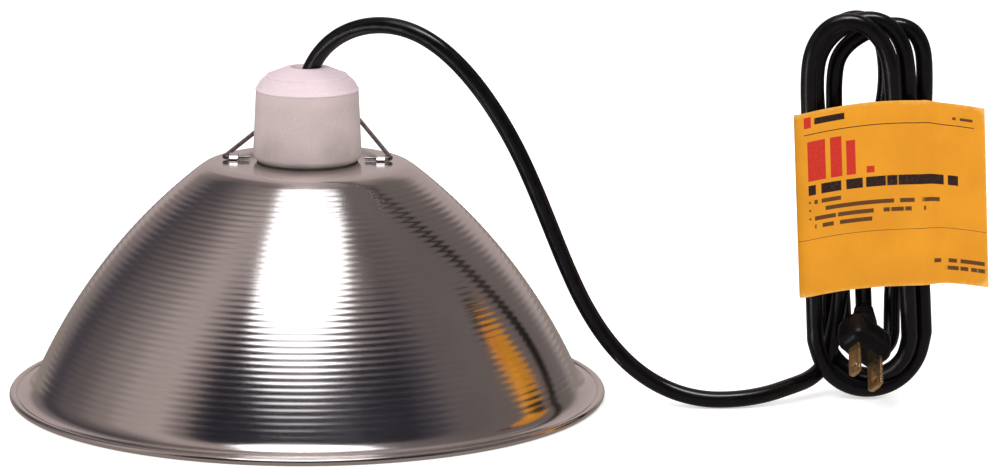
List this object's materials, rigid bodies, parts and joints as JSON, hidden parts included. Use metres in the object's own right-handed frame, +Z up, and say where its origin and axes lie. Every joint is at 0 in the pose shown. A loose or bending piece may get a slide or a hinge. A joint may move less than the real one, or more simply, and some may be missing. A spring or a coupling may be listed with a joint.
{
  "type": "heat lamp fixture",
  "caption": "Heat lamp fixture for a brooder: ribbed spun reflector on its rolled rim, porcelain lampholder, folding wire hanger, and a mains lead wound in a card sleeve.",
  "frame": {"origin": "centre of the circle on which the reflector's rim rests, in the rest plane", "axes": "+Z up along the lamp axis from the rim to the lampholder, +X towards the wound lead, +Y towards the folded hanger"},
  "size_m": [0.4373, 0.2666, 0.176],
  "materials": {
    "spun_aluminium": "bright spun sheet with fine horizontal ribs",
    "hanger_steel": "plain drawn wire, slightly dulled",
    "gasket_fibre": "pressed fibre",
    "porcelain": "matt porcelain, faintly mottled",
    "cap_porcelain": "matt porcelain",
    "ring_porcelain": "matt porcelain",
    "shell_brass": "rolled brass",
    "disc_board": "laminated board",
    "spring_brass": "spring bronze leaf",
    "contact_brass": "polished by the lamp's foot",
    "rivet_brass": "turned brass",
    "terminal_plated": "nickel-plated brass",
    "terminal_brass": "stamped brass",
    "screw_plated": "plated steel",
    "clamp_board": "moulded clamp",
    "core_dark": "vinyl insulation, line core",
    "core_pale": "vinyl insulation, neutral core",
    "cord_jacket": "glossy black jacket",
    "sleeve_card": "printed card, amber ground",
    "staple_steel": "bent wire",
    "plug_vinyl": "moulded black vinyl",
    "blade_brass": "stamped blades"
  },
  "bodies": {
    "fixture": {"reflector": "spun_aluminium", "gasket": "gasket_fibre", "socket_body": "porcelain", "socket_cap": "cap_porcelain", "retaining_ring": "ring_porcelain", "screw_shell": "shell_brass", "insulating_disc": "disc_board", "contact_spring": "spring_brass", "contact_rivet": "rivet_brass", "shell_rivets": "rivet_brass", "neutral_terminal": "terminal_plated", "line_terminal": "terminal_brass", "neutral_screw": "screw_plated", "line_screw": "terminal_brass", "cap_screws": "screw_plated", "cap_inserts": "rivet_brass", "cord_clamp": "clamp_board", "line_wire": "core_dark", "neutral_wire": "core_pale", "power_cord": "cord_jacket", "plug_lead": "cord_jacket", "cord_hank": "cord_jacket", "card_sleeve": "sleeve_card", "sleeve_staples": "staple_steel", "plug_body": "plug_vinyl", "plug_blade_narrow": "blade_brass", "plug_blade_wide": "blade_brass"},
    "hanger": {"hanger_wire": "hanger_steel"},
    "contact": {"contact_button": "contact_brass"}
  },
  "joints": [
    {"name": "hanger_swing", "type": "hinge", "parent": "fixture", "child": "hanger", "pos_m": [0, 0, 0.1069], "axis": [1, 0, 0], "range_deg": [-6, 86]},
    {"name": "contact_press", "type": "slide", "parent": "fixture", "child": "contact", "axis": [0, 0, 1], "range_m": [0, 0.0015], "stiffness_N_per_m": 1500, "deforming": ["contact_spring"]}
  ]
}
